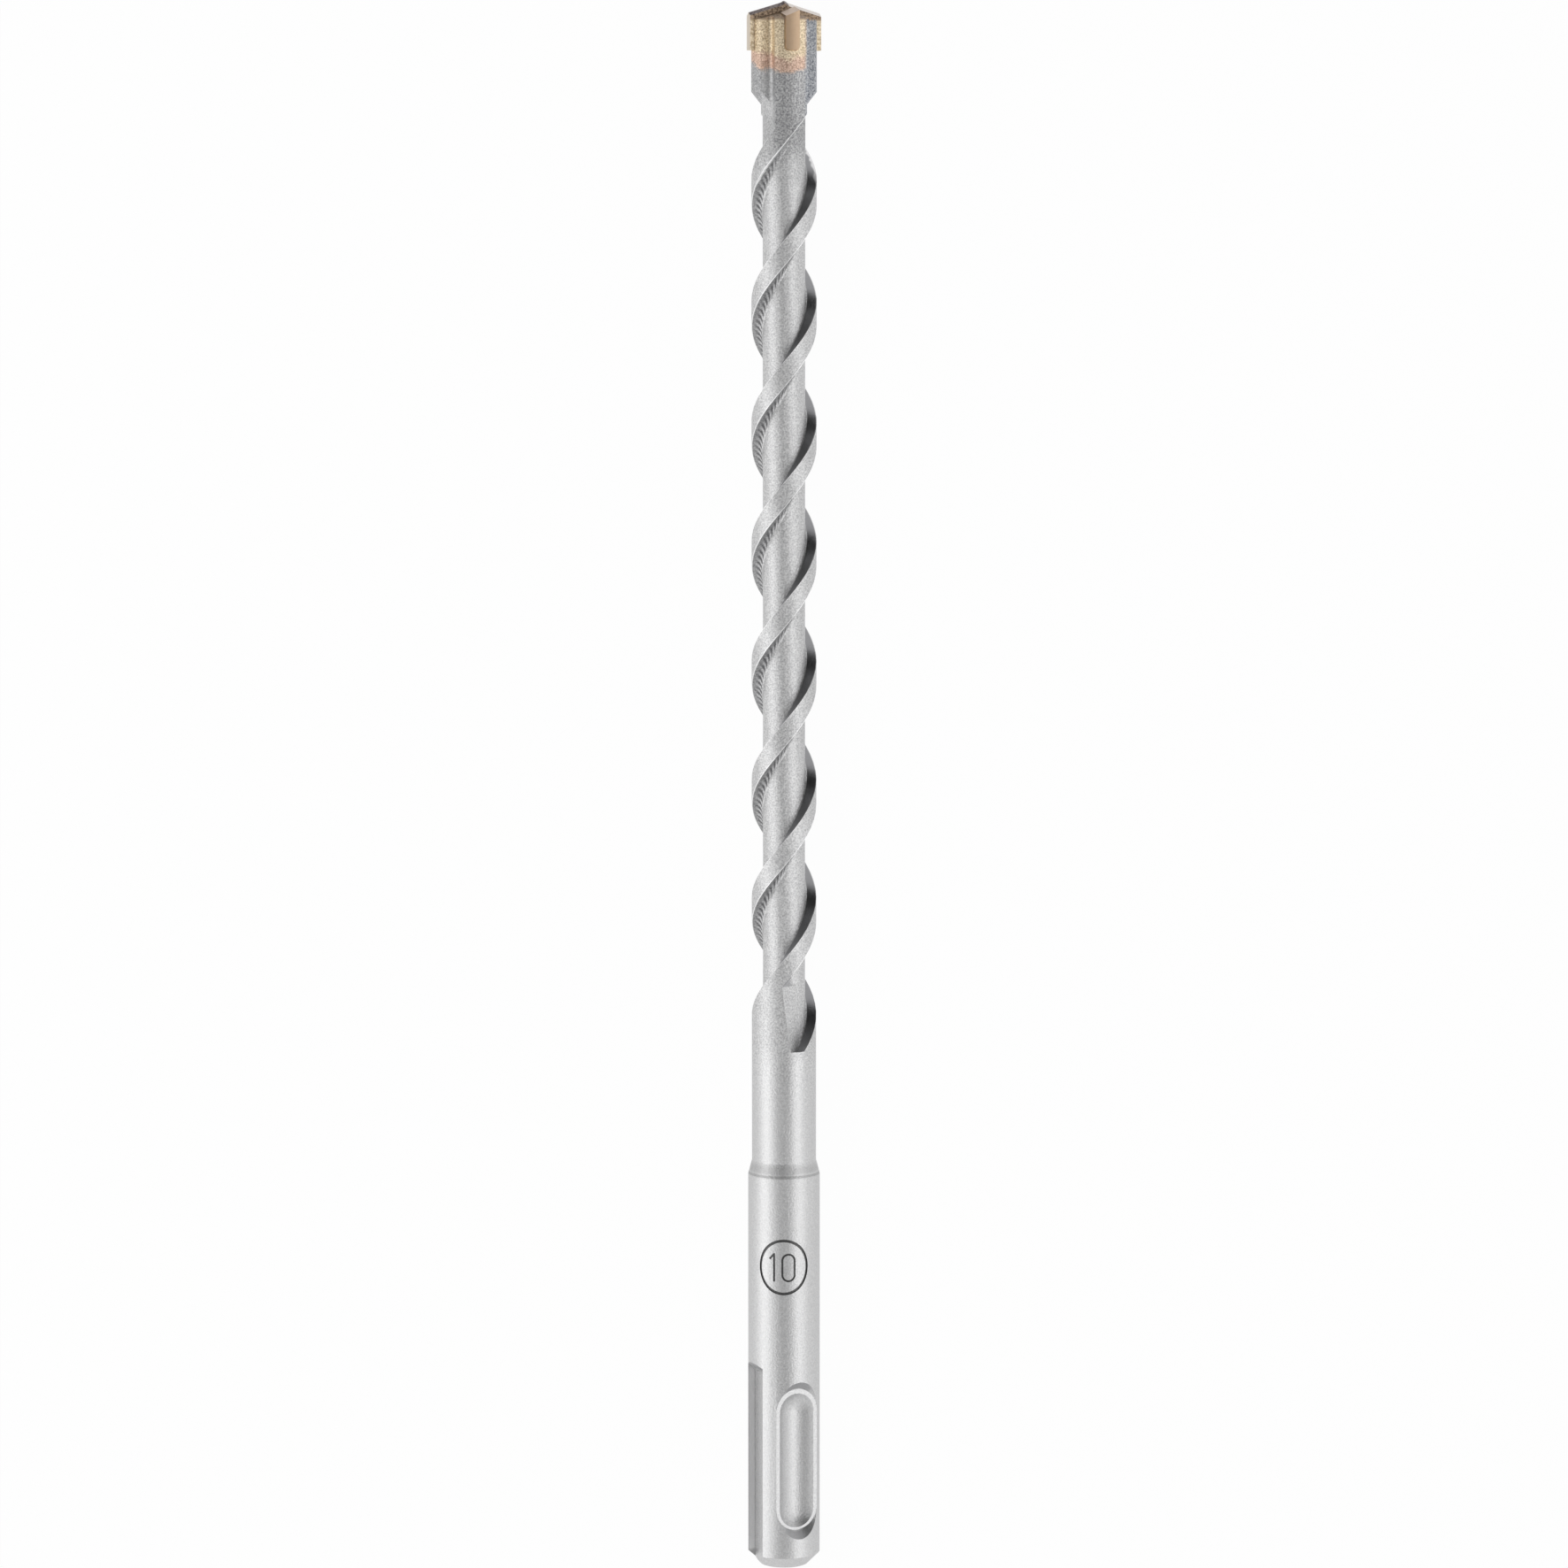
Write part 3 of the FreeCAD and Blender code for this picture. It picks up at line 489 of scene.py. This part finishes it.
def carbide(name, dark_side, light_side, end, roof):
    material, wire = finish(name)
    place = wire.node("TexCoord", {}, {}, "Object")
    face = wire.node("NewGeometry", {}, {}, "Normal")
    x, y, z = (wire.node("SeparateXYZ", {}, {0: place}, axis) * (1 / MM) for axis in "XYZ")
    tilt_x, up, tilt_z = (wire.node("SeparateXYZ", {}, {0: face}, axis) for axis in "XYZ")
    speckle = noise(wire, place, 3.6, 2)
    crisp = speckle.rise(*GRAIN_CONTRAST)
    colour = crisp.tint(dark_side, light_side)
    brown = crisp.tint(BROWN_DARK, BROWN_LIGHT)
    colour = (y + speckle * 0.8).rise(*BROWN_BEGINS).tint(colour, brown)
    colour = (tilt_x * x + tilt_z * z).rise(*END_RADIUS).tint(colour, end)
    bevel = up.rise(*BEVEL_TILT) * (1 - up.rise(*ROOF_TILT))
    colour = bevel.tint(colour, crisp.tint(BEVEL_DARK, BEVEL_LIGHT))
    ground = wire.node("BsdfPrincipled", {}, {
        "Base Color": up.rise(*ROOF_TILT).tint(colour, roof),
        "Metallic": 1.0,
        "Roughness": speckle * 0.2 + 0.4,
        "Normal": wire.node("Bump", {}, {"Height": speckle, "Strength": 0.5,
                                         "Distance": 0.04 * MM}),
    })
    wire.node("OutputMaterial", {}, {"Surface": ground})
    return material


main_carbide = carbide("braze_stained_carbide", STRAW_DARK, STRAW_LIGHT, GROUND_END, GROUND_ROOF)
side_carbide = carbide("bare_carbide", CARBIDE_TAN, CARBIDE_PINK, CARBIDE_PINK, SIDE_ROOF)
for name, material in (("main_cutter", main_carbide), ("side_cutter_front", side_carbide),
                       ("side_cutter_back", side_carbide)):
    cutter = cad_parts[name]
    cutter.data.materials.clear()
    cutter.data.materials.append(material)

# Braze: a thin film of brass that ran into the gap between each plate and its seat, with a
# slightly uneven, once-molten face.
BRASS = (0.62, 0.46, 0.27, 1)
TARNISH = (0.28, 0.18, 0.13, 1)
BRASS_ROUGHNESS = 0.35
brass, wire = finish("brazing_brass")
place = wire.node("TexCoord", {}, {}, "Object")
flow = noise(wire, place, 1.5, 3)
film = wire.node("BsdfPrincipled", {}, {
    "Base Color": flow.rise(0.35, 0.6).tint(TARNISH, BRASS),
    "Metallic": 1.0,
    "Roughness": BRASS_ROUGHNESS,
    "Normal": wire.node("Bump", {}, {"Height": flow, "Strength": 0.4, "Distance": 0.05 * MM}),
})
wire.node("OutputMaterial", {}, {"Surface": film})
for name in ("main_braze", "side_braze_front", "side_braze_back"):
    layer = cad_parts[name]
    layer.data.materials.clear()
    layer.data.materials.append(brass)
